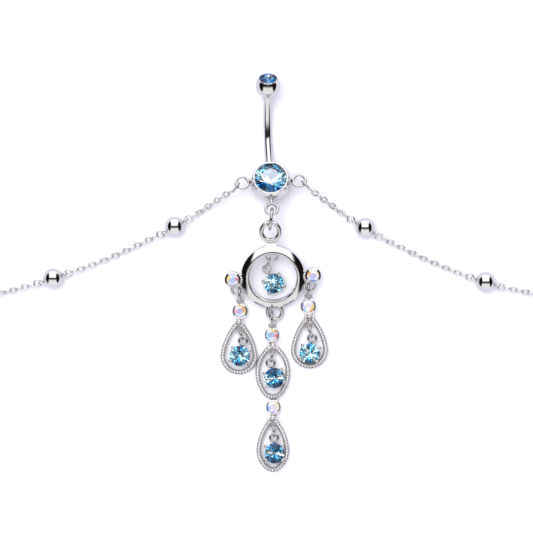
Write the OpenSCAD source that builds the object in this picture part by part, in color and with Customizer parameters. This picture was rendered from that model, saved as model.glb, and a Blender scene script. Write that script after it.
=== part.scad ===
// Belly chain lying on a flat surface: a curved navel barbell with a jewelled ball,
// a chandelier pendant hanging from the ball, and a waist chain of small links
// with round beads that runs from one side of the ball round to the other.
// Seen from above: X to the right, Y up along the barbell, Z away from the surface.

/* [Barbell] */
// Diameter of the jewelled ball
ball_d = 8; // [7.8:0.1:8.4]
// Diameter of the blue stone in the ball
navel_stone_d = 6.2; // [5:0.1:6.4]
// Diameter of the bar (14 gauge)
bar_d = 1.6; // [1.2:0.1:1.8]
// Radius that the bar is bent to
bar_bend_r = 12.5; // [12.3:0.1:13]
// Diameter of the ball that screws off
top_ball_d = 5; // [4.8:0.1:5.2]
// Diameter of the stone in the screw ball
top_stone_d = 3.4; // [2.6:0.1:3.4]

/* [Pendant ring] */
// Outer diameter of the big ring
ring_d = 12.7; // [12.4:0.1:13]
// Width of the ring's band
ring_band = 1.55; // [1.2:0.05:1.8]
// Thickness of the ring's band
ring_thick = 2; // [1.6:0.1:2.1]

/* [Drops] */
// Width of the beaded band round each drop
band_w = 0.95; // [0.8:0.05:1]
// Height of the beaded band
band_h = 1.25; // [1:0.05:1.3]
// Diameter of the small stones' cups
cup_d = 3.1; // [2.8:0.1:3.2]
// Diameter of the small clear stones
cup_stone_d = 2.4; // [2:0.1:2.4]
// Diameter of the blue stones that dangle
dangle_stone_d = 4.1; // [3.8:0.1:4.2]

/* [Waist chain] */
// Diameter of the chain taken as a round strand
strand_d = 1.1; // [0.8:0.1:1.2]
// Diameter of the round beads
bead_d = 4; // [3.5:0.1:4]
// Distance between beads along the chain
bead_step = 26.5; // [26:0.1:27]
// Beads on each side of the waist chain
beads_a_side = 13; // [8:1:13]

/* [Hidden] */

steel = [0.78, 0.79, 0.81];
blue = [0.16, 0.45, 0.85];
teal = [0.1, 0.42, 0.62];
clear = [0.93, 0.9, 0.97];
$fn = 48;

// Where the ball's centre stands from the origin, which is under the whole chain's middle
ball_y = -39.65;
ball_z = ball_d / 2;

// How the barbell lies: turned, its stone tipped back, its bar rolled a little aside
barbell_yaw = 2;
stone_tip = 22;
bar_roll = 5;
bar_dip = 27;
bar_rise = 37;
neck_end = ball_d / 2 - 0.1;
bend_y = neck_end * cos(bar_dip) + bar_bend_r * sin(bar_dip);
bend_z = bar_bend_r * cos(bar_dip) - neck_end * sin(bar_dip);
bar_end_y = bend_y + bar_bend_r * sin(bar_rise);
bar_end_z = bend_z - bar_bend_r * cos(bar_rise);
post_d = 1.2;
post_len = 2.3;
post_fit = 0.03;

// The big ball's stone seat
rim_r = navel_stone_d / 2 + 0.4;
rim_h = sqrt(pow(ball_d / 2, 2) - pow(rim_r, 2));

// The screw ball: distance from the bar's end, collar and stone seat
top_ball_at = 3;
collar_r = 1.1;
collar_gap = 0.03;
top_rim_r = top_stone_d / 2 + 0.25;
top_rim_h = sqrt(pow(top_ball_d / 2, 2) - pow(top_rim_r, 2));

// Loops soldered to the big ball, and the root each one grows from
side_loop_x = ball_d / 2 + 1.7;
side_loop_r = 1.25;
bottom_loop_y = ball_d / 2 + 1.93;
bottom_loop_r = 1.2;
loop_wire = 0.58;
ball_loop_wire = 0.66;
root_r = 0.8;
root_d = 0.9;

// How the pendant's ring lies: its top end rests higher
ring_x = 0.42;
ring_y = -18.96;
ring_z = 3.0;
ring_tip = 13;
ring_spin = 3;
ring_r = ring_d / 2;
ring_cup_x = 8.03;
ring_cup_d = 3.2;
ring_loop_y = 9.26;
ring_loop_r = 1.8;
ring_loop_wire = 1;
// The band's top slopes down outwards on a large arc from a crest near its inner wall
crest_in = 0.3;
bevel_r = 4.7;
bevel_slope = 22;
bevel_from = [0.2, -0.04];
neck_slope = 28;
neck_end_y = ring_r + 0.95;
// Loops of the ring for the side drops, the stone inside it and the centre drop
drop_loop = [7.26, -2.3, 1.05];
inner_loop = [ring_r - ring_band - 0.55, 1.15, 0.45];
low_loop = [-ring_r - 0.95, 1.45, 0.75];

// Half outlines of the drops: half width, side arc, apex height, where the side arc ends,
// and the slope on which the bottom arc leaves it, in whole parts so that both meet exactly
upper_side_r = 6.5;
upper_half = 3.05;
outer_drop = [3.26, 3.26, 6.85, 10, [1, 0]];
upper_drop = [upper_half, upper_side_r, sqrt(pow(upper_side_r, 2) - pow(upper_side_r - upper_half, 2)),
    acos((upper_side_r - upper_half) / upper_side_r), [0.8, -0.6]];
lower_drop = [2.84, 4.4, 6.5, 8, [0.6, -0.8]];
// The thin ridge along each edge of a drop's band: height and width of its top
edge_h = 0.14;
ridge_w = 0.08;
left_drop = [-6.37, -34.79];
right_drop = [7.76, -33.61];
upper_drop_at = [0.42, -38.2];
lower_drop_at = [0.42, -53.7];
left_cup = [-6.14, -25.82];
right_cup = [7.52, -24.86];
upper_cup = [0.24, -30.6];
lower_cup = [0.52, -45.04];
cup_h = 1.9;
rim_slope = 0.65;
upper_cup_d = 2.9;
lower_cup_d = 2.95;

// Dangling stones: place of the stone, direction of its loop, direction of its jump ring
ring_dangle = [0.62, -20.3, 115, 68];
left_dangle = [-6.2, -34.8, 78, 108];
right_dangle = [7.8, -34.3, 81, 108];
upper_dangle = [0.72, -39.2, 104, 80];
lower_dangle = [0.72, -54.25, 91, 93];
girdle_z = 2.2;
basket_r = 0.85;
basket_wire = 0.5;
claw_d = 0.46;
dangle_loop_r = 0.8;
dangle_loop_at = 3.1;
dangle_loop_z = 1.3;
dangle_wire = 0.44;
dangle_ring_d = 2.6;
right_ring_d = 3;
eye_z = 0.95;
eye_r = 0.7;
eye_wire = 0.42;
eye_reach = 1;
link_wire = 0.45;
// The stone inside the big ring is held up at its loop
ring_dangle_tip = 20;
ring_dangle_link = [-0.53, -16.26, 3.27];
ring_dangle_link_r = 1.24;
ring_dangle_link_wire = 0.42;
// Upright jump rings: place of the centre, direction seen from above
pendant_link = [0.06, -7.45, 5.95];
pendant_link_turn = 83;
left_drop_link = [-6.3, -22.5];
right_drop_link = [7.6, -21.54];
centre_drop_link = [0.25, -27.34];
drop_link_z = 1.7;
left_chain_link = [-6.88, -1.16, 235];
right_chain_link = [6.96, -0.65, -45];
chain_link_z = 4.09;
// The eye on top of each drop, and how far it stands from its cup
top_eye_r = 0.6;
top_eye_wire = 0.36;
top_eye_z = 1.1;
top_eye_at = 2.07;

// Route of the waist chain seen from above, from the ball round to the clasp
left_route = [[-7.9, -1.9], [-19, -8.8], [-31, -14.6], [-44, -19.4], [-56, -22.6],
    [-75, -26], [-98, -24], [-120, -11], [-134, 10], [-140, 38], [-136, 70],
    [-122, 98], [-98, 120], [-66, 132], [-34, 135], [-8.3, 135]];
right_route = [[7.9, -1.6], [19, -9.3], [31, -15.4], [42.3, -19.8], [55, -22.8],
    [75, -26], [98, -24], [120, -11], [134, 10], [140, 38], [136, 70],
    [122, 98], [98, 120], [66, 132], [34, 135], [4.9, 135]];
route_steps = 12;
first_bead = 13.3;
bead_hold = 2.4;
low_z = strand_d / 2 + 0.08;
start_z = 3;
bore_d = strand_d + 0.24;
clasp_at = [-6, 135];
clasp_r = 2.3;
clasp_hole_r = 1.3;
clasp_h = 1.4;

function aim(a) = [cos(a), sin(a)];

// A point on the smooth curve through a route, u counted in route points
function at(list, i) = list[max(0, min(len(list) - 1, i))];
function curve(list, u) =
    let (i = min(len(list) - 2, floor(u)), t = u - i,
         a = at(list, i - 1), b = at(list, i), c = at(list, i + 1), d = at(list, i + 2))
    0.5 * (2 * b + (c - a) * t + (2 * a - 5 * b + 4 * c - d) * t * t
        + (3 * b - a - 3 * c + d) * t * t * t);
function fine(list) = [for (i = [0 : (len(list) - 1) * route_steps]) curve(list, i / route_steps)];
function run(points) = [for (i = 0, s = 0; i < len(points);
    i = i + 1, s = s + (i < len(points) ? norm(points[i] - points[i - 1]) : 0)) s];
function along(points, lengths, s) =
    [for (k = [0 : 1]) lookup(s, [for (i = [0 : len(points) - 1]) [lengths[i], points[i][k]]])];

// Where the strand is held up or lies down: length along the chain and height
function bead_s(k) = first_bead + k * bead_step;
function stations(total) = concat([[0, start_z], [first_bead * 0.55, low_z + 0.3]],
    [for (k = [0 : beads_a_side - 1], j = [0 : 2])
        j == 0 ? [bead_s(k) - bead_hold, bead_d / 2]
        : j == 1 ? [bead_s(k) + bead_hold, bead_d / 2]
        : [bead_s(k) + bead_step / 2, low_z]],
    [[total, low_z]]);
function strand(list) =
    let (points = fine(list), lengths = run(points), total = lengths[len(lengths) - 1])
    [for (q = stations(total))
        let (p = along(points, lengths, q[0])) [p[0], p[1] + ball_y, q[1]]];

// Small shapes used by many pieces
module from_ball(x = 0, y = 0, z = 0) translate([x, y + ball_y, z]) children();

module wire_ring(r, wire) rotate_extrude() translate([r, 0]) circle(d = wire, $fn = 20);

// A ring that stands upright, its edge seen from above pointing along an angle
module standing_ring(x, y, z, turn, r, wire)
    from_ball(x, y, z) rotate([0, 0, turn]) rotate([90, 0, 0]) wire_ring(r, wire);

module sweep(path, d) {
    sides = 8;
    n = len(path);
    function heading(i) = let (v = at(path, i + 1) - at(path, i - 1)) v / norm(v);
    function across(i) = let (v = cross(heading(i), [0, 0, 1])) v / norm(v);
    function ring(i) = let (a = across(i), b = cross(a, heading(i)))
        [for (k = [0 : sides - 1]) path[i] + (a * cos(360 * k / sides) + b * sin(360 * k / sides)) * d / 2];
    points = [for (i = [0 : n - 1]) each ring(i)];
    walls = [for (i = [0 : n - 2], k = [0 : sides - 1], half = [0 : 1])
        let (a = i * sides + k, b = i * sides + (k + 1) % sides)
        half == 0 ? [a, b, a + sides] : [b, b + sides, a + sides]];
    start_cap = [for (k = [sides - 1 : -1 : 0]) k];
    end_cap = [for (k = [0 : sides - 1]) (n - 1) * sides + k];
    polyhedron(points, concat([start_cap], walls, [end_cap]));
}

// Round brilliant with an eight-sided table, its girdle's top at height zero
module cut_stone(d) {
    g = d / 2;
    t = g * 0.56;
    crown = d * 0.15;
    edge = d * 0.03;
    depth = d * 0.42;
    star_r = g * 0.78;
    star_z = crown * (1 - (star_r * cos(22.5) - t) / (g - t));
    low_r = g * 0.32;
    low_h = -edge - depth * (1 - low_r * cos(22.5) / g);
    function round_at(r, z, n, turn) = [for (k = [0 : n - 1])
        [r * cos(360 * k / n + turn), r * sin(360 * k / n + turn), z]];
    points = concat(round_at(t, crown, 8, 0), round_at(star_r, star_z, 8, 22.5),
        round_at(g, 0, 16, 0), round_at(g, -edge, 16, 0),
        round_at(low_r, low_h, 8, 22.5), [[0, 0, -edge - depth]]);
    table = [[for (k = [7 : -1 : 0]) k]];
    crown_faces = [for (k = [0 : 7])
        let (n = (k + 1) % 8, star = 8 + k, left = 16 + 2 * k, mid = left + 1, right = 16 + 2 * n)
        each [[k, n, star], [k, star, left], [n, right, star], [star, mid, left], [star, right, mid]]];
    girdle = [for (k = [0 : 15]) let (n = (k + 1) % 16)
        each [[16 + k, 16 + n, 32 + k], [16 + n, 32 + n, 32 + k]]];
    pavilion = [for (k = [0 : 7])
        let (n = (k + 1) % 8, low = 48 + k, left = 32 + 2 * k, mid = left + 1, right = 32 + 2 * n)
        each [[56, left, low], [56, low, right], [low, left, mid], [low, mid, right]]];
    polyhedron(points, concat(table, crown_faces, girdle, pavilion));
}

// Cone that a stone's pavilion sits in, with a straight wall round its girdle
module stone_seat(d) {
    translate([0, 0, -d * 0.47]) cylinder(h = d * 0.44, d1 = d * 0.1, d2 = d + 0.06);
    translate([0, 0, -d * 0.031]) cylinder(h = d * 0.3, d = d + 0.06);
}

// Small bezel cup that stands on the surface, its rim sloping down outwards
module cup(d = cup_d) difference() {
    lip = cup_stone_d / 2 + 0.05;
    edge = d / 2 - 0.04;
    rotate_extrude() polygon([[0, 0], [d / 2 - 0.25, 0], [d / 2 - 0.08, 0.3], [d / 2, cup_h * 0.6],
        [d / 2, cup_h - rim_slope * (edge - lip) - 0.06], [edge, cup_h - rim_slope * (edge - lip)],
        [lip, cup_h], [0, cup_h]]);
    translate([0, 0, cup_h - 0.14]) stone_seat(cup_stone_d);
}

module cup_stone() color(clear) translate([0, 0, cup_h - 0.12]) cut_stone(cup_stone_d);

// The big ball with its rim, the bar, and three loops for the chain and the pendant
module barbell_frame() from_ball(0, 0, ball_z) rotate([0, 0, barbell_yaw]) children();

module tipped() barbell_frame() rotate([-stone_tip, 0, 0]) children();

module ball_rim(r, h, wall) translate([0, 0, h]) rotate_extrude()
    translate([r - wall / 2, 0]) polygon([[-wall / 2, -0.5], [wall / 2, -0.5], [wall / 2, 0.04],
        [wall * 0.28, 0.17], [-wall * 0.28, 0.17], [-wall / 2, 0.04]]);

module bar() barbell_frame() rotate([0, bar_roll, 0]) {
    rotate([-90 - bar_dip, 0, 0]) translate([0, 0, neck_end - 0.7]) cylinder(h = 0.7, d = bar_d);
    translate([0, bend_y, bend_z]) rotate([90, 0, 90]) rotate([0, 0, -90 - bar_dip])
        rotate_extrude(angle = bar_dip + bar_rise) translate([bar_bend_r, 0]) circle(d = bar_d);
}

module at_bar_end() barbell_frame() rotate([0, bar_roll, 0])
    translate([0, bar_end_y, bar_end_z]) rotate([bar_rise - 90, 0, 0]) children();

module barbell() color(steel) {
    difference() {
        union() {
            tipped() {
                difference() {
                    sphere(d = ball_d, $fn = 96);
                    translate([0, 0, rim_h]) cylinder(h = ball_d, d = ball_d);
                }
                ball_rim(rim_r, rim_h, 0.36);
                for (side = [-1, 1]) {
                    translate([side * side_loop_x, 0, 0]) wire_ring(side_loop_r, ball_loop_wire);
                    translate([side * (ball_d / 2 - 0.25), 0, 0]) sphere(r = root_r);
                }
                translate([0, -bottom_loop_y, 0]) wire_ring(bottom_loop_r, ball_loop_wire);
                translate([0, -bottom_loop_y + 1.15, 0]) rotate([-90, 0, 0]) cylinder(h = 1.2, d = root_d);
            }
            bar();
            at_bar_end() translate([0, 0, -0.3]) cylinder(h = post_len + 0.3, d = post_d);
        }
        tipped() translate([0, 0, rim_h - 0.1]) stone_seat(navel_stone_d);
    }
}

module navel_stone() color(blue) tipped() translate([0, 0, rim_h - 0.08]) cut_stone(navel_stone_d);

// The ball that screws off the bar's post, with its own stone on the far side
module at_top_ball() at_bar_end() translate([0, 0, top_ball_at]) children();

module top_ball() color(steel) at_top_ball() difference() {
    union() {
        difference() {
            sphere(d = top_ball_d, $fn = 80);
            translate([0, 0, top_rim_h]) cylinder(h = top_ball_d, d = top_ball_d);
        }
        ball_rim(top_rim_r, top_rim_h, 0.22);
        translate([0, 0, collar_gap - top_ball_at]) cylinder(h = 1, r = collar_r);
    }
    translate([0, 0, top_rim_h - 0.1]) stone_seat(top_stone_d);
    translate([0, 0, -top_ball_at - 0.5]) cylinder(h = post_len + 0.65, d = post_d + 2 * post_fit);
}

module top_ball_stone() color(blue) at_top_ball() translate([0, 0, top_rim_h - 0.08])
    cut_stone(top_stone_d);

module pendant_jump_ring() color(steel) standing_ring(pendant_link[0], pendant_link[1],
    pendant_link[2], pendant_link_turn, 1.95, 0.7);

// The pendant's big ring, with a loop at its top, two cups and four loops
module ring_lies() from_ball(ring_x, ring_y, ring_z) rotate([ring_tip, 0, 0])
    rotate([0, 0, ring_spin]) children();

module ring_band_shape() {
    half = ring_thick / 2;
    inner = -ring_band / 2;
    outer = ring_band / 2;
    crest = inner + crest_in;
    intersection() {
        translate([crest + bevel_from[0] - bevel_r * sin(bevel_slope),
            half + bevel_from[1] - bevel_r * cos(bevel_slope)]) circle(r = bevel_r, $fn = 96);
        polygon([[inner + 0.15, -half], [outer - 0.15, -half], [outer, 0.15 - half], [outer, half - 0.27],
            [crest, half], [inner + 0.16, half - 0.03], [inner + 0.06, half - 0.1],
            [inner, half - 0.2], [inner, 0.15 - half]]);
    }
}

// Flat neck that widens from the top loop into the ring's band
module ring_neck() intersection() {
    translate([0, 0, -ring_thick / 4]) linear_extrude(ring_thick) polygon([[-1.7, ring_r - 0.5],
        [1.7, ring_r - 0.5], [1.05, ring_r + 0.15], [0.82, ring_r + 0.5], [0.82, neck_end_y],
        [-0.82, neck_end_y], [-0.82, ring_r + 0.5], [-1.05, ring_r + 0.15]]);
    translate([0, neck_end_y, -0.12]) rotate([-neck_slope, 0, 0]) translate([-2, -3, -3]) cube([4, 4, 3]);
}

module ring_frame() color(steel) ring_lies() {
    rotate_extrude($fn = 96) translate([ring_r - ring_band / 2, 0]) ring_band_shape();
    translate([0, ring_loop_y, 0]) wire_ring(ring_loop_r, ring_loop_wire);
    ring_neck();
    for (side = [-1, 1]) {
        translate([side * ring_cup_x, 0, -cup_h / 2]) cup(ring_cup_d);
        translate([side * (ring_r - 0.3), 0, 0]) rotate([0, side * 90, 0]) cylinder(h = 0.8, d = 1.2);
        translate([side * drop_loop[0], drop_loop[1], 0]) wire_ring(drop_loop[2], loop_wire);
    }
    translate([0, inner_loop[0], 0]) wire_ring(inner_loop[1], inner_loop[2]);
    translate([0, low_loop[0], 0]) wire_ring(low_loop[1], low_loop[2]);
}

module ring_cup_stone(side) ring_lies() translate([side * ring_cup_x, 0, -cup_h / 2]) cup_stone();

// Basket with four claws and a loop on one side, for one dangling stone
module basket() {
    claw_top = girdle_z + dangle_stone_d * 0.09;
    claw_r = dangle_stone_d / 2 + 0.2;
    foot_z = basket_wire / 2 + 0.02;
    translate([0, 0, foot_z]) wire_ring(basket_r, basket_wire);
    translate([0, 0, 1.25]) wire_ring(1.6, 0.42);
    for (claw = [-52, 52, 128, 232]) rotate([0, 0, claw]) {
        translate([basket_r, 0, foot_z]) rotate([0, atan2(claw_r - basket_r, girdle_z - foot_z), 0])
            cylinder(h = norm([claw_r - basket_r, girdle_z - foot_z]) + 0.2, d = claw_d);
        translate([claw_r, 0, girdle_z - 0.3]) cylinder(h = claw_top - girdle_z + 0.3, d = claw_d + 0.1);
        translate([claw_r - 0.15, 0, claw_top]) sphere(d = 0.72);
    }
    translate([dangle_loop_at, 0, dangle_loop_z]) wire_ring(dangle_loop_r, dangle_wire);
    translate([1.5, 0, dangle_loop_z]) rotate([0, 90, 0])
        cylinder(h = dangle_loop_at - dangle_loop_r - 1.5, d = 0.5);
}

// Puts a basket or its stone where it lies, tipped about the far edge of its foot
module lying(p, tip = 0) {
    edge = basket_r + basket_wire / 2;
    settle = edge - edge * cos(tip) + girdle_z * sin(tip);
    from_ball(p[0], p[1]) rotate([0, 0, p[2]]) translate([settle - edge, 0, 0]) rotate([0, -tip, 0])
        translate([edge, 0, 0]) children();
}

// The claws and basket with the room for the stone cut out of them
module dangle_setting(p, tip = 0) color(steel) lying(p, tip) difference() {
    basket();
    translate([0, 0, girdle_z]) {
        translate([0, 0, -0.15]) cylinder(h = 0.45, d = dangle_stone_d + 0.08);
        translate([0, 0, -0.15 - dangle_stone_d * 0.45])
            cylinder(h = dangle_stone_d * 0.45, d1 = 0.3, d2 = dangle_stone_d + 0.08);
        translate([0, 0, 0.3]) cylinder(h = 0.6, d1 = dangle_stone_d - 0.2, d2 = dangle_stone_d * 0.6);
    }
}

module dangle_stone(p, tip = 0) color(teal) lying(p, tip) translate([0, 0, girdle_z])
    cut_stone(dangle_stone_d);

// The upright ring that joins a stone's loop to the eye of its frame
function loop_centre(p) = [p[0], p[1]] + dangle_loop_at * aim(p[2]);
function ring_growth(d) = (d - dangle_ring_d) * 0.6;
function eye_centre(p, d) =
    loop_centre(p) + (dangle_loop_r + eye_reach + ring_growth(d) + eye_r) * aim(p[3]);

module dangle_ring(p, d = dangle_ring_d) color(steel)
    let (mid = loop_centre(p) + (dangle_loop_r + 0.56 + ring_growth(d) / 2) * aim(p[3]))
    standing_ring(mid[0], mid[1], d / 2 + 0.02, p[3], (d - link_wire) / 2, link_wire);

// The beaded band of a drop, built from arcs that meet smoothly
module band_shape() {
    w = band_w / 2;
    ridge = w - 0.1;
    floor_w = w - 0.21;
    low = band_h - edge_h;
    polygon([[-w, 0], [w, 0], [w, low], [ridge + ridge_w / 2, band_h], [ridge - ridge_w / 2, band_h],
        [floor_w, low], [-floor_w, low], [-ridge + ridge_w / 2, band_h], [-ridge - ridge_w / 2, band_h],
        [-w, low]]);
}

module band_arc(c, r, from, to) translate([c[0], c[1], 0]) rotate([0, 0, from])
    rotate_extrude(angle = to - from, $fn = 96) translate([r, 0]) band_shape();

module drop_band(at, shape) {
    half = shape[0];
    side_r = shape[1];
    apex = shape[2];
    turn = shape[3];
    foot_way = shape[4];
    side_c = [half - side_r, 0];
    foot_back = (side_r - half) / foot_way[0];
    foot_c = side_c + foot_back * foot_way;
    foot_turn = atan2(foot_way[1], foot_way[0]);
    to_apex = [-side_c[0], apex];
    has_flank = norm(to_apex) > side_r + 0.001;
    extra = (to_apex * to_apex - side_r * side_r) / (2 * (side_r - to_apex * aim(turn)));
    flank_c = side_c - extra * aim(turn);
    flank_turn = atan2(apex - flank_c[1], -flank_c[0]);
    from_ball(at[0], at[1]) for (side = [0, 1]) mirror([side, 0, 0]) {
        if (foot_back > 0) band_arc(foot_c, side_r - foot_back, -90, foot_turn);
        band_arc(side_c, side_r, foot_back > 0 ? foot_turn : -90, turn);
        if (has_flank) band_arc(flank_c, side_r + extra, turn, flank_turn);
    }
}

// Grains that cover the joint between a cup and the band below it
module grains(x, y) from_ball(x, y, 0) {
    translate([0, 0.1, 0]) cylinder(h = band_h, d = 1);
    translate([0, 0.1, band_h]) sphere(d = 1);
    for (side = [-1, 1]) translate([side * 0.8, -0.25, band_h - 0.15]) sphere(d = 0.7);
}

module eye(x, y, r = eye_r, wire = eye_wire, z = eye_z) from_ball(x, y, z) wire_ring(r, wire);

module top_eye(cup_at) eye(cup_at[0], cup_at[1] + top_eye_at, top_eye_r, top_eye_wire, top_eye_z);

// The eye inside a band's top and the stem that ties it to the apex
module inner_eye(p, apex, d = dangle_ring_d) {
    c = eye_centre(p, d);
    way = [apex[0], apex[1]] - c;
    from_ball(c[0], c[1], eye_z) {
        wire_ring(eye_r, eye_wire);
        rotate([0, 0, atan2(way[1], way[0])]) translate([eye_r - 0.1, 0, 0]) rotate([0, 90, 0])
            cylinder(h = max(0.2, norm(way) - eye_r), d = 0.5);
    }
}

module outer_drop_frame(at, cup_at, p, d = dangle_ring_d) color(steel) {
    apex = at + [0, outer_drop[2]];
    drop_band(at, outer_drop);
    grains(apex[0], apex[1]);
    from_ball(cup_at[0], cup_at[1]) cup();
    top_eye(cup_at);
    inner_eye(p, apex, d);
}

module left_drop_frame() outer_drop_frame(left_drop, left_cup, left_dangle);

module right_drop_frame() outer_drop_frame(right_drop, right_cup, right_dangle, right_ring_d);

module centre_drop_frame() color(steel) {
    upper_apex = upper_drop_at + [0, upper_drop[2]];
    lower_apex = lower_drop_at + [0, lower_drop[2]];
    drop_band(upper_drop_at, upper_drop);
    drop_band(lower_drop_at, lower_drop);
    grains(upper_apex[0], upper_apex[1]);
    grains(lower_apex[0], lower_apex[1]);
    from_ball(upper_cup[0], upper_cup[1]) cup(upper_cup_d);
    from_ball(lower_cup[0], lower_cup[1]) cup(lower_cup_d);
    from_ball(upper_cup[0], upper_cup[1] + 1.2) cylinder(h = 0.85, d = 0.9);
    for (side = [-1.6, 1.6]) from_ball(lower_cup[0], lower_cup[1] + side) cylinder(h = band_h, d = 1.1);
    from_ball(upper_cup[0], upper_cup[1] - 1.5) cylinder(h = band_h, d = 1.1);
    top_eye([upper_cup[0] + 0.05, upper_cup[1] - 0.1]);
    inner_eye(upper_dangle, upper_apex);
    inner_eye(lower_dangle, lower_apex);
}

// Upright rings: each drop on its loop, the waist chain on the ball, the stone in the ring
module drop_jump_ring(p) color(steel) standing_ring(p[0], p[1], drop_link_z, 90, 1.42, 0.5);

module chain_ring(p) color(steel) standing_ring(p[0], p[1], chain_link_z, p[2], 1.05, 0.42);

module ring_dangle_jump_ring() color(steel)
    standing_ring(ring_dangle_link[0], ring_dangle_link[1], ring_dangle_link[2], ring_dangle[3],
        ring_dangle_link_r, ring_dangle_link_wire);

module placed_cup_stone(p) from_ball(p[0], p[1]) cup_stone();

// The waist chain as two round strands through drilled beads
module chain_strand(list) color(steel) sweep(strand(list), strand_d);

module station_beads(list) color(steel) {
    points = fine(list);
    lengths = run(points);
    for (k = [0 : beads_a_side - 1]) {
        a = along(points, lengths, bead_s(k) - bead_hold);
        b = along(points, lengths, bead_s(k) + bead_hold);
        mid = (a + b) / 2;
        from_ball(mid[0], mid[1], bead_d / 2) rotate([0, 0, atan2(b[1] - a[1], b[0] - a[0])])
            rotate([0, 90, 0]) difference() {
                sphere(d = bead_d, $fn = 48);
                cylinder(h = bead_d + 1, d = bore_d, center = true);
            }
    }
}

// Plain clasp behind the wearer, resting on the ring that it holds
module clasp() color(steel) from_ball(clasp_at[0], clasp_at[1], 0.35) rotate([0, -5.5, 0]) {
    difference() {
        slot_plate([1.6, 6.4], clasp_r, 0, clasp_h);
        slot_plate([3.6, 6.4], clasp_hole_r, -1, clasp_h + 2);
    }
    translate([-0.9, 0, 0.55]) wire_ring(0.75, 0.45);
}

module slot_plate(ends, r, z, h) {
    for (x = ends) translate([x, 0, z]) cylinder(h = h, r = r);
    translate([ends[0], -r, z]) cube([ends[1] - ends[0], 2 * r, h]);
}

module clasp_ring() color(steel) standing_ring(clasp_at[0] + 8.75, clasp_at[1], 2.22, 0, 1.9, 0.6);

barbell();
navel_stone();
top_ball();
top_ball_stone();
pendant_jump_ring();
ring_frame();
ring_cup_stone(-1);  // ring_cup_stone_left
ring_cup_stone(1);  // ring_cup_stone_right
ring_dangle_jump_ring();
dangle_setting(ring_dangle, ring_dangle_tip);  // ring_dangle_setting
dangle_stone(ring_dangle, ring_dangle_tip);  // ring_dangle_stone
drop_jump_ring(left_drop_link);  // left_drop_jump_ring
left_drop_frame();
placed_cup_stone(left_cup);  // left_drop_cup_stone
dangle_ring(left_dangle);  // left_dangle_jump_ring
dangle_setting(left_dangle);  // left_dangle_setting
dangle_stone(left_dangle);  // left_dangle_stone
drop_jump_ring(right_drop_link);  // right_drop_jump_ring
right_drop_frame();
placed_cup_stone(right_cup);  // right_drop_cup_stone
dangle_ring(right_dangle, right_ring_d);  // right_dangle_jump_ring
dangle_setting(right_dangle);  // right_dangle_setting
dangle_stone(right_dangle);  // right_dangle_stone
drop_jump_ring(centre_drop_link);  // centre_drop_jump_ring
centre_drop_frame();
placed_cup_stone(upper_cup);  // centre_upper_cup_stone
placed_cup_stone(lower_cup);  // centre_lower_cup_stone
dangle_ring(upper_dangle);  // centre_upper_dangle_jump_ring
dangle_setting(upper_dangle);  // centre_upper_dangle_setting
dangle_stone(upper_dangle);  // centre_upper_dangle_stone
dangle_ring(lower_dangle);  // centre_lower_dangle_jump_ring
dangle_setting(lower_dangle);  // centre_lower_dangle_setting
dangle_stone(lower_dangle);  // centre_lower_dangle_stone
chain_ring(left_chain_link);  // chain_ring_left
chain_ring(right_chain_link);  // chain_ring_right
chain_strand(left_route);  // chain_left
chain_strand(right_route);  // chain_right
station_beads(left_route);  // station_beads_left
station_beads(right_route);  // station_beads_right
clasp();
clasp_ring();
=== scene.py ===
"""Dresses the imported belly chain: polished metal, cut stones, beaded edges and chain links.

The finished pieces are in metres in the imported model's frame, where the chain lies on z = 0.
"""
import math
import random

import bmesh
import bpy
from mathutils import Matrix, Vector


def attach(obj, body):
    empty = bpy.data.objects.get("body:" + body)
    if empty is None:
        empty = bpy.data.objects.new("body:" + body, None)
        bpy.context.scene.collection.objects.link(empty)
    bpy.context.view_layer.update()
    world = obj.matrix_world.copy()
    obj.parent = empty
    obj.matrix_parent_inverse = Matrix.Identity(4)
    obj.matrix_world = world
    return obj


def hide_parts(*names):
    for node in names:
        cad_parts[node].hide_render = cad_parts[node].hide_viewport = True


bl_info = {
    "name": "Belly chain dressing",
    "version": (1, 0, 0),
    "blender": (4, 5, 0),
    "location": "3D View > Sidebar > Belly chain",
    "description": "Finishes a belly chain's metal and stones and adds its links and beaded edges",
    "category": "Object",
}

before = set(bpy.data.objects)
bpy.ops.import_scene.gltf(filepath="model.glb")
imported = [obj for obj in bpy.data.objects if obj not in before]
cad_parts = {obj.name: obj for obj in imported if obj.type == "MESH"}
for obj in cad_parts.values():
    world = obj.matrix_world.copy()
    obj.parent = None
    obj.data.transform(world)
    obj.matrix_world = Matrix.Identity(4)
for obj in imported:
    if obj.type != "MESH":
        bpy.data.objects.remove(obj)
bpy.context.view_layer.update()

MM = 0.001

# Nodes by finish
BARBELL = ("barbell", "top_ball")
STATION_BEADS = ("station_beads_left", "station_beads_right")
DANGLES = ("ring", "left", "right", "centre_upper", "centre_lower")
PLATED = ("ring_frame",) + tuple(f"{name}_dangle_setting" for name in DANGLES)
DROP_FRAMES = ("left_drop_frame", "right_drop_frame", "centre_drop_frame")
RINGS = ("pendant_jump_ring", "left_drop_jump_ring", "right_drop_jump_ring",
         "centre_drop_jump_ring", "chain_ring_left", "chain_ring_right",
         "clasp", "clasp_ring") + tuple(f"{name}_dangle_jump_ring" for name in DANGLES)

# Links, bead pins and grains, in metres and radians: lengths and widths over all, radii, steps
# from one to the next, turns from lying flat, and the sides of what is round
LINK_LENGTH, LINK_WIDTH, WIRE, LINK_PITCH = 1.95 * MM, 1.4 * MM, 0.42 * MM, 1.2 * MM
LINK_ROLL = math.radians(9)
LINK_SEED = 7
EYE_R, BEAD_RING_R = 0.45 * MM, 0.7 * MM
EYE_TURN, BEAD_RING_TURN = math.radians(70), math.radians(-8)
GRAIN_R, GRAIN_STEP = 0.29 * MM, 0.56 * MM
LINK_SIDES, BEAD_RING_SIDES, WIRE_SIDES, PIN_SIDES = 16, 20, 6, 10

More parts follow.
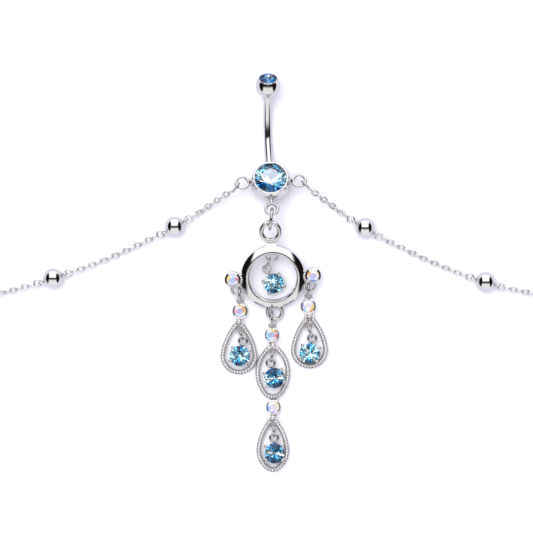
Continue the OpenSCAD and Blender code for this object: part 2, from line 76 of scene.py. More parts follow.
# Waist chain, as in the part's source, in millimetres: the ball's place along Y, then the routes
# from the ball to the clasp
BALL_Y = -39.65
LEFT_ROUTE = [(-7.9, -1.9), (-19, -8.8), (-31, -14.6), (-44, -19.4), (-56, -22.6), (-75, -26),
              (-98, -24), (-120, -11), (-134, 10), (-140, 38), (-136, 70), (-122, 98),
              (-98, 120), (-66, 132), (-34, 135), (-8.3, 135)]
RIGHT_ROUTE = [(7.9, -1.6), (19, -9.3), (31, -15.4), (42.3, -19.8), (55, -22.8), (75, -26),
               (98, -24), (120, -11), (134, 10), (140, 38), (136, 70), (122, 98),
               (98, 120), (66, 132), (34, 135), (4.9, 135)]

# Its beads: how many a side, how far along the route the first is, how far apart, and the radius
BEADS_A_SIDE, FIRST_BEAD, BEAD_STEP, BEAD_R = 13, 13.3, 26.5, 2.0

# Its height: at the ball, where it lies, where and how far it first dips, how near a bead it is
# held up, and how far beyond the clasp the heights go on
START_HEIGHT, LYING_HEIGHT = 3.1, 0.72
DIP_AT, DIP_HEIGHT = FIRST_BEAD * 0.55, LYING_HEIGHT + 0.2
BEAD_HOLD = 2.4
PAST_END = 50

# Its lines: what stays bare at both ends, a pin's reach from its bead's middle, from a pin's end
# to the first link's middle, between the points of a line, and the steps to a place of a route
BARE_START, BARE_END = 0.1, 0.2
PIN_REACH = BEAD_R + 0.1
FIRST_LINK = 2.5
POINT_STEP = 0.6
ROUTE_STEPS = 12

# Drops, as in the part's source: place, half width, side arc, apex, side angle, bottom slope
UPPER_APEX = math.sqrt(6.5 ** 2 - 3.45 ** 2)
UPPER_TURN = math.degrees(math.acos(3.45 / 6.5))
DROPS = {
    "left": ((-6.37, -34.79), 3.26, 3.26, 6.85, 10.0, (1.0, 0.0)),
    "right": ((7.76, -33.61), 3.26, 3.26, 6.85, 10.0, (1.0, 0.0)),
    "upper": ((0.42, -38.2), 3.05, 6.5, UPPER_APEX, UPPER_TURN, (0.8, -0.6)),
    "lower": ((0.42, -53.7), 2.84, 4.4, 6.5, 8.0, (0.6, -0.8)),
}

# Their bands: height of the top, the length without grains on each side of the apex, and the
# steps in each part of a line
BAND_TOP, BARE_APEX = 1.2, 1.15
FOOT_STEPS, SIDE_STEPS, FLANK_STEPS, BAND_STEPS = 12, 40, 24, 160

# Facets by how far they face up: the table's are above the first, the foiled ones below the
# second and the mains at the back below the third
TABLE_RISE, FOIL_RISE, MAINS_RISE = 0.97, -0.15, -0.757

# The attribute that holds each facet's colour, and how near two corners are that are one
FACET = "facet_colour"
NEAR = 0.002 * MM

# Blue stones: tone of the facets round each from +X turning left, then that of the mains behind
# and the seed of its small differences; 0 is a white flash, 1 light, 2 full and 3 deep. These
# tones are painted reflections: the white flashes are painted highlights, and where a stone shows
# light or deep blue is painted here, not cast by the lamps
BLUE_STONES = {
    "navel_stone": ((0.8, 0.0, 0.2, 0.6, 2.4, 2.8, 2.6, 2.7), 0.2, 3300),
    "top_ball_stone": ((2.6, 2.1, 1.5, 2.0, 2.7, 2.8, 0.2, 2.8), 1.9, 6101),
    "ring_dangle_stone": ((1.5, 1.6, 2.4, 1.8, 0.6, 0.2, 2.2, 0.3), 0.4, 2102),
    "left_dangle_stone": ((1.8, 1.0, 2.2, 1.3, 0.3, 1.8, 2.2, 0.6), 0.3, 103),
    "right_dangle_stone": ((0.8, 0.6, 1.6, 1.6, 1.8, 0.6, 2.4, 0.8), 0.3, 104),
    "centre_upper_dangle_stone": ((0.2, 1.6, 2.3, 2.0, 0.3, 1.4, 2.4, 1.8), 0.5, 105),
    "centre_lower_dangle_stone": ((0.3, 2.2, 2.4, 2.0, 0.3, 2.2, 2.8, 2.4), 0.9, 4106),
}
BLUE_TABLE = (0.93, 0.94, 1.0)

# How much of those tones the crown and the foil take, and how far a facet may stray from them
HANGING_SHARES, BALL_SHARES = (0.75, 0.4), (1.05, 0.25)
CROWN_STRAY, FOIL_STRAY = 1.8, 2.6
CROWN_MIDDLE, FOIL_MIDDLE = 0.5, 0.6

# Clear stones: colours round each from +X turning left, then the colour of its table; the white
# places in the ring are painted flashes
WHITE, YELLOW, ORANGE = (1.0, 1.0, 1.0), (1.0, 0.8, 0.2), (1.0, 0.45, 0.12)
PINK, RED, LILAC = (1.0, 0.42, 0.5), (0.95, 0.12, 0.15), (0.62, 0.52, 1.0)
VIOLET, BLUE, AQUA = (0.36, 0.34, 0.9), (0.2, 0.42, 0.95), (0.3, 0.75, 1.0)
RAINBOW_STONES = {
    "left_drop_cup_stone": ((YELLOW, ORANGE, YELLOW, WHITE, PINK, AQUA, AQUA, WHITE), VIOLET),
    "right_drop_cup_stone": ((YELLOW, WHITE, WHITE, WHITE, LILAC, AQUA, WHITE, ORANGE), WHITE),
    "centre_upper_cup_stone": ((RED, ORANGE, YELLOW, WHITE, AQUA, AQUA, WHITE, PINK), BLUE),
    "centre_lower_cup_stone": ((YELLOW, YELLOW, WHITE, WHITE, BLUE, BLUE, LILAC, WHITE), WHITE),
    "ring_cup_stone_left": ((RED, AQUA, LILAC, WHITE, YELLOW, AQUA, WHITE, WHITE), BLUE),
    "ring_cup_stone_right": ((YELLOW, WHITE, YELLOW, WHITE, ORANGE, AQUA, BLUE, WHITE), VIOLET),
}
FIRST_RAINBOW_SEED = 20

# How many places round the ring a facet's colour may drift, how much of the table's colour the
# foil may take, and how white the table, a crown's flashing facets and its others are. The
# flashing facets' white is a painted highlight
CROWN_DRIFT, FOIL_DRIFT = 0.9, 3.0
FOIL_BLEND = 0.4
TABLE_WHITE, FLASH_WHITE, PLAIN_WHITE = 0.5, 0.8, 0.1

# A facet gets a painted white flash, a painted highlight, where a wave over its number is high: how
# fast it runs and how high
FLASH_WAVE, FLASH_HIGH = 57.0, 0.55

# Brightnesses in the studio: soft box, panel in front, patches in stones and light on the floor,
# which a user may change, then the band along the horizon and the pale patch overhead
KEY, FORE_PANEL, SPARKLE, WASH = 1.5, 1.12, 2.8, 1.75
HORIZON, OVERHEAD = 0.8, 0.06

# Each colour's share of the studio's light, and what is left of it in the dark
WARMTH = (("X", 1.0, 0.012), ("Y", 0.985, 0.009), ("Z", 0.975, 0.01))

# Patches in stones: their fineness, the numbers above which they are middling and bright, and the
# brightness of the middling and the dark ones
PATCH_SCALE = 4.5
MIDDLING_ABOVE, BRIGHT_ABOVE = 0.3, 0.6
MIDDLING, DARK = 0.7, 0.14

# The light that washes the floor: the place it is aimed at, the way from there to it, its side in
# metres, its radiance at a brightness of 1 and its tint
WASHED_PLACE, WASH_WAY, WASH_SIDE = (0.0, -0.05, 0.0), (-0.2, 0.2, 1.0), 0.8
WASH_RADIANCE, WASH_TINT = 2.6, (0.97, 0.97, 1.0)

# Floor: half its side and its height; picture: its middle and its width there, all in metres.
# The floor's grain is darker than its colour by the first; the floor that metal mirrors is darker
# by the second, a painted shade that only reflections show
SPECK_SHADE, MIRRORED_SHADE = 0.985, 0.78
FLOOR_HALF, FLOOR_Z = 4.0, -0.03 * MM
PICTURE_MIDDLE, PICTURE_WIDTH = (-0.00084, -0.05655, 0.002), 0.1066


# Sizes and colours a user may change

def length(name, description, default):
    """A length property shown in scene units."""
    return bpy.props.FloatProperty(name=name, description=description, default=default,
                                   min=0.0, unit="LENGTH", precision=5)


def colour(name, description, default):
    """A colour property with three channels."""
    return bpy.props.FloatVectorProperty(name=name, description=description, default=default,
                                         size=3, min=0.0, max=1.0, subtype="COLOR")


def brightness(name, description, default):
    """A brightness property, from nothing up."""
    return bpy.props.FloatProperty(name=name, description=description, default=default, min=0.0)


class ChainSizes(bpy.types.PropertyGroup):
    """Sizes of the waist chain's links and bead pins."""
    link_length: length("Link length", "Outer length of one link", LINK_LENGTH)
    link_width: length("Link width", "Outer width of one link", LINK_WIDTH)
    wire: length("Wire", "Thickness of the link's wire", WIRE)
    pitch: length("Pitch", "Distance from one link's middle to the next", LINK_PITCH)
    roll: bpy.props.FloatProperty(name="Roll", description="Most that a link leans either way",
                                  default=LINK_ROLL, subtype="ANGLE")
    eye: length("Eye", "Radius of the eye at each end of a bead's pin", EYE_R)
    ring: length("Bead ring", "Radius of the ring on each side of a bead", BEAD_RING_R)


class EdgeSizes(bpy.types.PropertyGroup):
    """Sizes of the grains along the drops' bands."""
    grain: length("Grain", "Radius of one grain", GRAIN_R)
    step: length("Step", "Distance from grain to grain", GRAIN_STEP)


class MetalLook(bpy.types.PropertyGroup):
    """Colours and polish of the metal."""
    steel: colour("Steel", "Colour of the barbell and beads", (0.72, 0.715, 0.725))
    plating: colour("Plating", "Colour of the pendant's plating", (0.7, 0.69, 0.695))
    polish: bpy.props.FloatProperty(name="Polish", description="Roughness of the polished metal",
                                    default=0.035, min=0.0, max=1.0, subtype="FACTOR")


class StoneLook(bpy.types.PropertyGroup):
    """Colours of the stones."""
    navel: colour("Sapphire light", "Light facets of the balls' stones", (0.6, 0.86, 0.98))
    navel_full: colour("Sapphire full", "Full-coloured facets of those stones", (0.1, 0.47, 0.8))
    navel_deep: colour("Sapphire deep", "Darkest facets of those stones", (0.005, 0.06, 0.18))
    dangle: colour("Zircon light", "Light facets of the hanging stones", (0.5, 0.79, 0.92))
    dangle_full: colour("Zircon full", "Full-coloured facets of those stones", (0.045, 0.3, 0.5))
    dangle_deep: colour("Zircon deep", "Darkest facets of those stones", (0.008, 0.08, 0.16))


class StudioLook(bpy.types.PropertyGroup):
    """Floor and lights."""
    floor: colour("Floor", "Colour of the surface", (0.9, 0.9, 0.905))
    key: brightness("Key", "Brightness of the large soft box", KEY)
    panel: brightness("Panel", "Brightness of the panel in front", FORE_PANEL)
    sparkle: brightness("Sparkle", "Brightness of the patches in the stones", SPARKLE)
    wash: brightness("Wash", "Brightness of the light on the floor", WASH)
    haze: colour("Haze", "Colour of the light that reaches into shadows", (0.72, 0.71, 0.86))


class BellyChain(bpy.types.PropertyGroup):
    """Everything that can be set on the belly chain."""
    chain: bpy.props.PointerProperty(type=ChainSizes)
    edge: bpy.props.PointerProperty(type=EdgeSizes)
    metal: bpy.props.PointerProperty(type=MetalLook)
    stone: bpy.props.PointerProperty(type=StoneLook)
    studio: bpy.props.PointerProperty(type=StudioLook)


# Helpers for objects and node trees

def link_object(name, data):
    """Puts data into the scene as an object at the origin."""
    made = bpy.data.objects.new(name, data)
    bpy.context.scene.collection.objects.link(made)
    return made


class Board:
    """Adds nodes to a tree and sets or links their inputs."""
    across, down = 190, 150

    def __init__(self, tree):
        self.tree = tree
        self.count = 0

    def add(self, kind, inputs=None, **settings):
        """A new node with its settings and inputs."""
        node = self.tree.nodes.new(kind)
        node.location = (self.count * self.across, -(self.count % 3) * self.down)
        self.count += 1
        for name, value in settings.items():
            setattr(node, name, value)
        self.fill(node, inputs or {})
        return node

    def fill(self, node, inputs):
        """Sets a node's inputs to values, or links them to other nodes' outputs."""
        for key, value in inputs.items():
            if isinstance(value, bpy.types.NodeSocket):
                self.tree.links.new(value, node.inputs[key])
            else:
                node.inputs[key].default_value = value

    def math(self, operation, a, b=0.0, clamp=False):
        """The result of a calculation."""
        node = self.add("ShaderNodeMath", {0: a, 1: b}, operation=operation, use_clamp=clamp)
        return node.outputs[0]

    def plus(self, a, b):
        """a plus b"""
        return self.math("ADD", a, b)

    def minus(self, a, b):
        """a minus b"""
        return self.math("SUBTRACT", a, b)

    def times(self, a, b):
        """a times b"""
        return self.math("MULTIPLY", a, b)

    def ranged(self, value, low, high, start=0.0, end=1.0, **settings):
        """A value's place between low and high, as a number from start to end."""
        node = self.add("ShaderNodeMapRange", {
            "Value": value, "From Min": low, "From Max": high, "To Min": start, "To Max": end},
            **settings)
        return node.outputs[0]

    def noise(self, place, scale, detail, roughness=0.5):
        """Soft random values from 0 to 1 that change with place."""
        return self.add("ShaderNodeTexNoise", {"Vector": place, "Scale": scale, "Detail": detail,
                                               "Roughness": roughness}).outputs["Fac"]

    def mix(self, part, a, b):
        """A colour between two others."""
        return self.add("ShaderNodeMix", {"Factor": part, "A": a, "B": b},
                        data_type="RGBA").outputs["Result"]


def new_group(name, kind, inputs, outputs):
    """A node group with named sockets, its board, what it is given and its output node."""
    tree = bpy.data.node_groups.new(name, kind)
    for label, socket_type, default in inputs:
        socket = tree.interface.new_socket(label, in_out="INPUT", socket_type=socket_type)
        if default is not None:
            socket.default_value = default
    for label, socket_type in outputs:
        tree.interface.new_socket(label, in_out="OUTPUT", socket_type=socket_type)
    board = Board(tree)
    return tree, board, board.add("NodeGroupInput").outputs, board.add("NodeGroupOutput")


def new_material(name):
    """A material, its board and its Principled shader."""
    material = bpy.data.materials.new(name)
    material.use_nodes = True
    return material, Board(material.node_tree), material.node_tree.nodes["Principled BSDF"]


# Metal

def polish_group():
    """Marks that polishing and wear leave: faint lines, soft smudges and a slight unevenness."""
    name = "Polished metal marks"
    if name in bpy.data.node_groups:
        return bpy.data.node_groups[name]
    tree, board, given, out = new_group(
        name, "ShaderNodeTree",
        [("Roughness", "NodeSocketFloat", 0.04), ("Smudges", "NodeSocketFloat", 0.04)],
        [("Roughness", "NodeSocketFloat"), ("Shade", "NodeSocketFloat"),
         ("Height", "NodeSocketFloat")])
    place = board.add("ShaderNodeTexCoord").outputs["Object"]
    stretched = board.add("ShaderNodeMapping", {
        "Vector": place, "Scale": (9000.0, 900.0, 2500.0), "Rotation": (0.3, 0.2, 0.6)})
    lines = board.noise(stretched.outputs[0], scale=1.0, detail=3.0, roughness=0.6)
    smudges = board.noise(place, scale=420.0, detail=4.0, roughness=0.55)
    waves = board.noise(place, scale=260.0, detail=1.0)
    rougher = board.times(board.ranged(smudges, 0.45, 0.75), given["Smudges"])
    board.fill(out, {
        "Roughness": board.math("ADD", rougher, given["Roughness"], clamp=True),
        "Shade": board.ranged(smudges, 0.3, 0.7),
        "Height": board.plus(board.times(lines, 0.25), waves)})
    return tree


def metal(name, base, dull, roughness, uneven, metallic=1.0):
    """A polished metal that dulls a little where it is smudged; cast metal is less metallic."""
    material, board, shader = new_material(name)
    marks = board.add("ShaderNodeGroup", {"Roughness": roughness}, node_tree=polish_group()).outputs
    bump = board.add("ShaderNodeBump", {"Height": marks["Height"], "Strength": uneven,
                                        "Distance": 0.004 * MM})
    board.fill(shader, {
        "Base Color": board.mix(marks["Shade"], (*base, 1.0), (*dull, 1.0)),
        "Roughness": marks["Roughness"], "Normal": bump.outputs[0], "Metallic": metallic})
    return material


def dress(node, material):
    """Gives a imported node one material."""
    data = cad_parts[node].data
    data.materials.clear()
    data.materials.append(material)


# Stones

def scuff_group():
    """Fine scuffs on a polished stone."""
    name = "Polished stone scuffs"
    if name in bpy.data.node_groups:
        return bpy.data.node_groups[name]
    tree, board, given, out = new_group(
        name, "ShaderNodeTree",
        [("Least", "NodeSocketFloat", 0.0), ("Most", "NodeSocketFloat", 0.03)],
        [("Roughness", "NodeSocketFloat")])
    place = board.add("ShaderNodeTexCoord").outputs["Object"]
    worn = board.noise(place, scale=1800.0, detail=3.0)
    board.fill(out, {"Roughness": board.ranged(worn, 0.5, 0.8, given["Least"], given["Most"])})
    return tree


def stone_material(name, metallic=0.0, transmission=0.0, ior=1.5, coat=0.0):
    """A cut stone's surface, coloured facet by facet."""
    material, board, shader = new_material(name)
    facet = board.add("ShaderNodeAttribute", attribute_name=FACET)
    scuffs = board.add("ShaderNodeGroup", node_tree=scuff_group())
    board.fill(shader, {
        "Base Color": facet.outputs["Color"], "Roughness": scuffs.outputs["Roughness"],
        "Metallic": metallic, "Transmission Weight": transmission, "IOR": ior,
        "Coat Weight": coat, "Coat Roughness": 0.01, "Coat IOR": 1.9})
    return material


def blend(a, b, part):
    """A colour between two others."""
    return tuple(x + (y - x) * part for x, y in zip(a, b))


def toned(ramp, tone):
    """The colour at a place along a list of colours."""
    tone = max(0.0, min(len(ramp) - 1.001, tone))
    return blend(ramp[int(tone)], ramp[int(tone) + 1], tone % 1.0)


def round_value(values, way, drift=0.0):
    """The value that a list spread round a circle has in a direction, drifting by some steps."""
    turn = math.atan2(way.y, way.x) / math.tau % 1.0 * len(values)
    return values[int(turn + 0.5 + drift) % len(values)]


def blue_paint(ramp, tones, mains, shares):
    """Paints a blue stone: a pale table, a crown in its tones and foil that shows through it; the
    tones are painted reflections and white flashes.
    """
    crown, foil = shares

    def paint(way, rise, chance):
        if rise > TABLE_RISE:
            return BLUE_TABLE
        if rise > FOIL_RISE:
            stray = CROWN_STRAY * (chance - CROWN_MIDDLE)
            # Squared, because glass tints light by the root of its colour
            return tuple(c * c for c in toned(ramp, crown * round_value(tones, way) + stray))
        stray = FOIL_STRAY * (chance - FOIL_MIDDLE)
        if rise < MAINS_RISE:
            return toned(ramp, mains + stray)
        return toned(ramp, foil * round_value(tones, way) + stray)

    return paint


def rainbow_paint(ring, middle):
    """Paints a clear stone: its coating's colours, with painted white flashes on a third of the
    crown.
    """

    def paint(way, rise, chance):
        if rise < FOIL_RISE:
            near = round_value(ring, way, FOIL_DRIFT * (chance - 0.5))
            return blend(near, middle, FOIL_BLEND * chance)
        if rise > TABLE_RISE:
            return blend(middle, WHITE, TABLE_WHITE)
        near = round_value(ring, way, CROWN_DRIFT * (chance - 0.5))
        # Painted highlights: some crown facets are whitened as flashes
        flashes = math.sin(chance * FLASH_WAVE) > FLASH_HIGH
        return blend(near, WHITE, FLASH_WHITE if flashes else PLAIN_WHITE)

    return paint


def cut_stone(node, materials, paint, seed):
    """A copy of a packed stone with flat facets.

    materials are those of the crown, the table and the foiled facets underneath. paint is given
    the way a facet faces, how far it faces up from the girdle and a number drawn for the facet,
    and returns the facet's colour.
    """
    shape = bmesh.new()
    shape.from_mesh(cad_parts[node].data)
    bmesh.ops.remove_doubles(shape, verts=shape.verts, dist=NEAR)

    def facing(face):
        return tuple(round(c, 2) for c in face.normal)

    areas = {}
    for face in shape.faces:
        areas[facing(face)] = areas.get(facing(face), 0.0) + face.calc_area()
    up = Vector(max(areas, key=areas.get)).normalized()
    draw = random.Random(seed)
    drawn = {key: draw.random() for key in sorted(areas)}
    layer = shape.loops.layers.float_color.new(FACET)
    for face in shape.faces:
        rise = face.normal.dot(up)
        face.material_index = 2 if rise < FOIL_RISE else 1 if rise > TABLE_RISE else 0
        face.smooth = False
        tint = paint(face.normal, rise, drawn[facing(face)])
        for corner in face.loops:
            corner[layer] = (*tint, 1.0)
    name = f"cut_{node}"
    data = bpy.data.meshes.new(name)
    shape.to_mesh(data)
    shape.free()
    for material in materials:
        data.materials.append(material)
    return link_object(name, data)


# Shapes that follow paths

def path_object(name, lines):
    """A mesh of open lines, each a list of points in metres."""
    points = [p for line in lines for p in line]
    edges = []
    start = 0
    for line in lines:
        edges += [(start + i, start + i + 1) for i in range(len(line) - 1)]
        start += len(line)
    data = bpy.data.meshes.new(name)
    data.from_pydata(points, edges, [])
    return link_object(name, data)


def grown(name, lines, tree, settings):
    """Runs a geometry tree on lines and returns its result as a plain mesh object."""
    source = path_object(name + "_path", lines)
    modifier = source.modifiers.new("Grow", "NODES")
    modifier.node_group = tree
    sockets = {item.name: item.identifier for item in tree.interface.items_tree
               if item.item_type == "SOCKET" and item.in_out == "INPUT"}
    for label, value in settings.items():
        modifier[sockets[label]] = value
    graph = bpy.context.evaluated_depsgraph_get()
    data = bpy.data.meshes.new_from_object(source.evaluated_get(graph))
    source.modifiers.remove(modifier)
    bpy.data.objects.remove(source)
    if not len(data.polygons):
        raise RuntimeError(f"{name} came out empty")
    return link_object(name, data)


def path_group(name, sizes, result):
    """A geometry tree that is given a path, sizes and a material."""
    inputs = [("Path", "NodeSocketGeometry", None)]
    for label, default in sizes:
        kind = "NodeSocketInt" if isinstance(default, int) else "NodeSocketFloat"
        inputs.append((label, kind, default))
    inputs.append(("Material", "NodeSocketMaterial", None))
    return new_group(name, "GeometryNodeTree", inputs, [(result, "NodeSocketGeometry")])


def wire_ring(board, long_r, short_r, wire_r, sides):
    """An oval of round wire, its long way along X."""
    circle = board.add("GeometryNodeCurvePrimitiveCircle", {"Resolution": sides, "Radius": 1.0})
    size = board.add("ShaderNodeCombineXYZ", {"X": long_r, "Y": short_r, "Z": 1.0})
    oval = board.add("GeometryNodeTransform", {"Geometry": circle.outputs[0],
                                               "Scale": size.outputs[0]})
    wire = board.add("GeometryNodeCurvePrimitiveCircle", {"Resolution": WIRE_SIDES,
                                                          "Radius": wire_r})
    return board.add("GeometryNodeCurveToMesh", {"Curve": oval.outputs[0],
                                                 "Profile Curve": wire.outputs[0]}).outputs[0]


def moved(board, geometry, x):
    """Geometry moved along X."""
    by = board.add("ShaderNodeCombineXYZ", {"X": x})
    return board.add("GeometryNodeTransform", {"Geometry": geometry,
                                               "Translation": by.outputs[0]}).outputs[0]


def placed(board, points, piece, rotation=None):
    """A piece on every point."""
    inputs = {"Points": points, "Instance": piece}
    if rotation is not None:
        inputs["Rotation"] = rotation
    return board.add("GeometryNodeInstanceOnPoints", inputs).outputs[0]


def finish_tree(board, geometry, material, out):
    """Realizes instances, shades them smooth and sets their material."""
    real = board.add("GeometryNodeRealizeInstances", {"Geometry": geometry})
    smooth = board.add("GeometryNodeSetShadeSmooth", {0: real.outputs[0]})
    done = board.add("GeometryNodeSetMaterial", {"Geometry": smooth.outputs[0],
                                                 "Material": material})
    board.fill(out, {0: done.outputs[0]})


def along_path(board, forward):
    """The rotation that lays X along the path with Z up."""
    return board.add("FunctionNodeAxesToRotation", {0: forward, 1: (0.0, 0.0, 1.0)},
                     primary_axis="X", secondary_axis="Z").outputs[0]


def rolled(board, rotation, angle):
    """A rotation turned further about its own X."""
    turn = board.add("FunctionNodeAxisAngleToRotation", {"Axis": (1.0, 0.0, 0.0), "Angle": angle})
    return board.add("FunctionNodeRotateRotation", {0: rotation, 1: turn.outputs[0]},
                     rotation_space="LOCAL").outputs[0]


def link_tree():
    """Links along paths, each a quarter turn from the last; both ends' links stand on edge."""
    tree, board, given, out = path_group("Linked chain", (
        ("Link length", LINK_LENGTH), ("Link width", LINK_WIDTH), ("Wire", WIRE),
        ("Pitch", LINK_PITCH), ("Roll", LINK_ROLL), ("Seed", LINK_SEED)), "Chain")
    wire_r = board.times(given["Wire"], 0.5)
    long_r = board.minus(board.times(given["Link length"], 0.5), wire_r)
    short_r = board.minus(board.times(given["Link width"], 0.5), wire_r)
    link = wire_ring(board, long_r, short_r, wire_r, LINK_SIDES)
    curve = board.add("GeometryNodeMeshToCurve", {"Mesh": given["Path"]})
    run = board.add("GeometryNodeSplineLength").outputs["Length"]
    pairs = board.math("ROUND", board.math("DIVIDE", run, board.times(given["Pitch"], 2.0)))
    spaced = board.add("GeometryNodeResampleCurve", {
        "Curve": curve.outputs[0], "Count": board.plus(board.times(pairs, 2.0), 1.0)}, mode="COUNT")
    facing = along_path(board, board.add("GeometryNodeInputTangent").outputs[0])
    index = board.add("GeometryNodeSplineParameter").outputs["Index"]
    on_edge = board.minus(1.0, board.math("MODULO", index, 2.0))
    lean = board.add("FunctionNodeRandomValue", {
        "Seed": given["Seed"], 2: board.times(given["Roll"], -1.0), 3: given["Roll"]},
        data_type="FLOAT").outputs[1]
    angle = board.plus(board.times(on_edge, math.pi / 2), lean)
    links = placed(board, spaced.outputs[0], link, rolled(board, facing, angle))
    finish_tree(board, links, given["Material"], out)
    return tree


def pin_tree():
    """Pins through the beads, an eye on edge at each end and a ring through each eye."""
    tree, board, given, out = path_group(
        "Bead pins", (("Eye", EYE_R), ("Ring", BEAD_RING_R), ("Wire", WIRE)), "Pins")
    eye_r, ring_r = given["Eye"], given["Ring"]
    wire_r = board.times(given["Wire"], 0.5)
    eye = moved(board, wire_ring(board, eye_r, eye_r, wire_r, LINK_SIDES), eye_r)
    # The ring's near side lies just inside the eye's far side
    hook = board.minus(board.times(eye_r, 2.0), board.times(given["Wire"], 1.05))
    ring = moved(board, wire_ring(board, ring_r, ring_r, wire_r, BEAD_RING_SIDES),
                 board.plus(hook, ring_r))
    curve = board.add("GeometryNodeMeshToCurve", {"Mesh": given["Path"]}).outputs[0]
    index = board.add("GeometryNodeSplineParameter").outputs["Index"]
    outward = board.add("ShaderNodeVectorMath", {
        0: board.add("GeometryNodeInputTangent").outputs[0],
        "Scale": board.minus(board.times(index, 2.0), 1.0)}, operation="SCALE")
    facing = along_path(board, outward.outputs[0])
    joined = board.add("GeometryNodeJoinGeometry")
    for part, turn in ((eye, EYE_TURN), (ring, BEAD_RING_TURN)):
        board.fill(joined, {0: placed(board, curve, part, rolled(board, facing, turn))})
    thick = board.add("GeometryNodeCurvePrimitiveCircle", {"Resolution": PIN_SIDES,
                                                           "Radius": wire_r})
    pins = board.add("GeometryNodeCurveToMesh", {"Curve": curve, "Profile Curve": thick.outputs[0]})
    board.fill(joined, {0: pins.outputs[0]})
    finish_tree(board, joined.outputs[0], given["Material"], out)
    return tree


def grain_tree():
    """Round grains evenly along paths."""
    tree, board, given, out = path_group(
        "Beaded edge", (("Grain", GRAIN_R), ("Step", GRAIN_STEP)), "Grains")
    ball = board.add("GeometryNodeMeshUVSphere", {"Segments": 14, "Rings": 8,
                                                  "Radius": given["Grain"]})
    curve = board.add("GeometryNodeMeshToCurve", {"Mesh": given["Path"]})
    spaced = board.add("GeometryNodeResampleCurve", {"Curve": curve.outputs[0],
                                                     "Length": given["Step"]}, mode="LENGTH")
    grains = placed(board, spaced.outputs[0], ball.outputs["Mesh"])
    finish_tree(board, grains, given["Material"], out)
    return tree


# Lines of the waist chain and the drops

def smooth_route(route):
    """Points on the same smooth curve that the part's source lays through a route."""
    last = len(route) - 1
    made = []
    for i in range(last * ROUTE_STEPS + 1):
        u = i / ROUTE_STEPS
        k = min(last - 1, int(u))
        t = u - k
        a, b, c, d = (route[max(0, min(last, k + j))] for j in (-1, 0, 1, 2))
        made.append(tuple(0.5 * (2 * b[n] + (c[n] - a[n]) * t
                                 + (2 * a[n] - 5 * b[n] + 4 * c[n] - d[n]) * t * t
                                 + (3 * b[n] - a[n] - 3 * c[n] + d[n]) * t ** 3) for n in (0, 1)))
    return made


def run_lengths(points):
    """Length along a line at each of its points."""
    run = [0.0]
    for a, b in zip(points, points[1:]):
        run.append(run[-1] + math.dist(a, b))
    return run


def at_length(points, run, s):
    """The point of a line at a length along it."""
    s = max(0.0, min(run[-1], s))
    k = max(i for i in range(len(run) - 1) if run[i] <= s + 1e-9)
    t = (s - run[k]) / (run[k + 1] - run[k])
    return tuple(a + (b - a) * t for a, b in zip(points[k], points[k + 1]))


def in_frame(x, y, z):
    """A point given in millimetres from the ball, in metres in the model's frame."""
    return (x * MM, (y + BALL_Y) * MM, z * MM)


def chain_height(s, total):
    """Height of the chain's middle in millimetres at a length along it."""
    knots = [(0.0, START_HEIGHT), (DIP_AT, DIP_HEIGHT)]
    for k in range(BEADS_A_SIDE):
        bead = FIRST_BEAD + k * BEAD_STEP
        knots += [(bead - BEAD_HOLD, BEAD_R), (bead + BEAD_HOLD, BEAD_R)]
        if k < BEADS_A_SIDE - 1:
            knots += [(bead + BEAD_STEP / 2, LYING_HEIGHT)]
    knots += [(knots[-1][0] + BEAD_STEP / 2, LYING_HEIGHT), (total + PAST_END, LYING_HEIGHT)]
    for (s0, z0), (s1, z1) in zip(knots, knots[1:]):
        if s <= s1:
            return z0 + (z1 - z0) * (s - s0) / (s1 - s0)
    return LYING_HEIGHT


def chain_lines(route):
    """Lines for the links between beads, and lines for the pins through the beads."""
    points = smooth_route(route)
    run = run_lengths(points)
    total = run[-1]
    beads = [FIRST_BEAD + k * BEAD_STEP for k in range(BEADS_A_SIDE)]

    def point(s):
        return in_frame(*at_length(points, run, s), chain_height(s, total))

    starts = [BARE_START] + [s + PIN_REACH + FIRST_LINK for s in beads]
    ends = [s - PIN_REACH - FIRST_LINK for s in beads] + [total - BARE_END]
    links = []
    for s0, s1 in zip(starts, ends):
        n = max(2, round((s1 - s0) / POINT_STEP))
        links.append([point(s0 + (s1 - s0) * i / n) for i in range(n + 1)])
    pins = [[point(s - PIN_REACH), point(s + PIN_REACH)] for s in beads]
    return links, pins


def arc(centre, radius, start, end, steps):
    """Points on an arc, angles in degrees."""
    angles = [math.radians(start + (end - start) * i / steps) for i in range(steps + 1)]
    return [(centre[0] + radius * math.cos(a), centre[1] + radius * math.sin(a)) for a in angles]


def drop_outline(drop):
    """The middle line of a drop's band, from its apex down one side and up the other."""
    at, half, side_r, apex, turn, slope = drop
    side_c = (half - side_r, 0.0)
    back = (side_r - half) / slope[0]
    if back > 0:
        foot_c = (side_c[0] + back * slope[0], back * slope[1])
        joint = math.degrees(math.atan2(slope[1], slope[0]))
        half_line = arc(foot_c, side_r - back, -90.0, joint, FOOT_STEPS)
    else:
        joint = -90.0
        half_line = []
    half_line += arc(side_c, side_r, joint, turn, SIDE_STEPS)
    to_apex = (-side_c[0], apex)
    # A flatter arc joins the side to an apex that lies outside the side's circle
    if math.hypot(*to_apex) > side_r + 0.001:
        way = (math.cos(math.radians(turn)), math.sin(math.radians(turn)))
        along = to_apex[0] * way[0] + to_apex[1] * way[1]
        extra = (to_apex[0] ** 2 + to_apex[1] ** 2 - side_r ** 2) / (2 * (side_r - along))
        flank_c = (side_c[0] - extra * way[0], -extra * way[1])
        end = math.degrees(math.atan2(apex - flank_c[1], -flank_c[0]))
        half_line += arc(flank_c, side_r + extra, turn, end, FLANK_STEPS)
    full = [(-x, y) for x, y in reversed(half_line)] + half_line
    run = run_lengths(full)
    beaded = run[-1] - 2 * BARE_APEX
    line = [at_length(full, run, BARE_APEX + beaded * i / BAND_STEPS)
            for i in range(BAND_STEPS + 1)]
    return [in_frame(at[0] + x, at[1] + y, BAND_TOP) for x, y in line]


# Floor, lights and camera

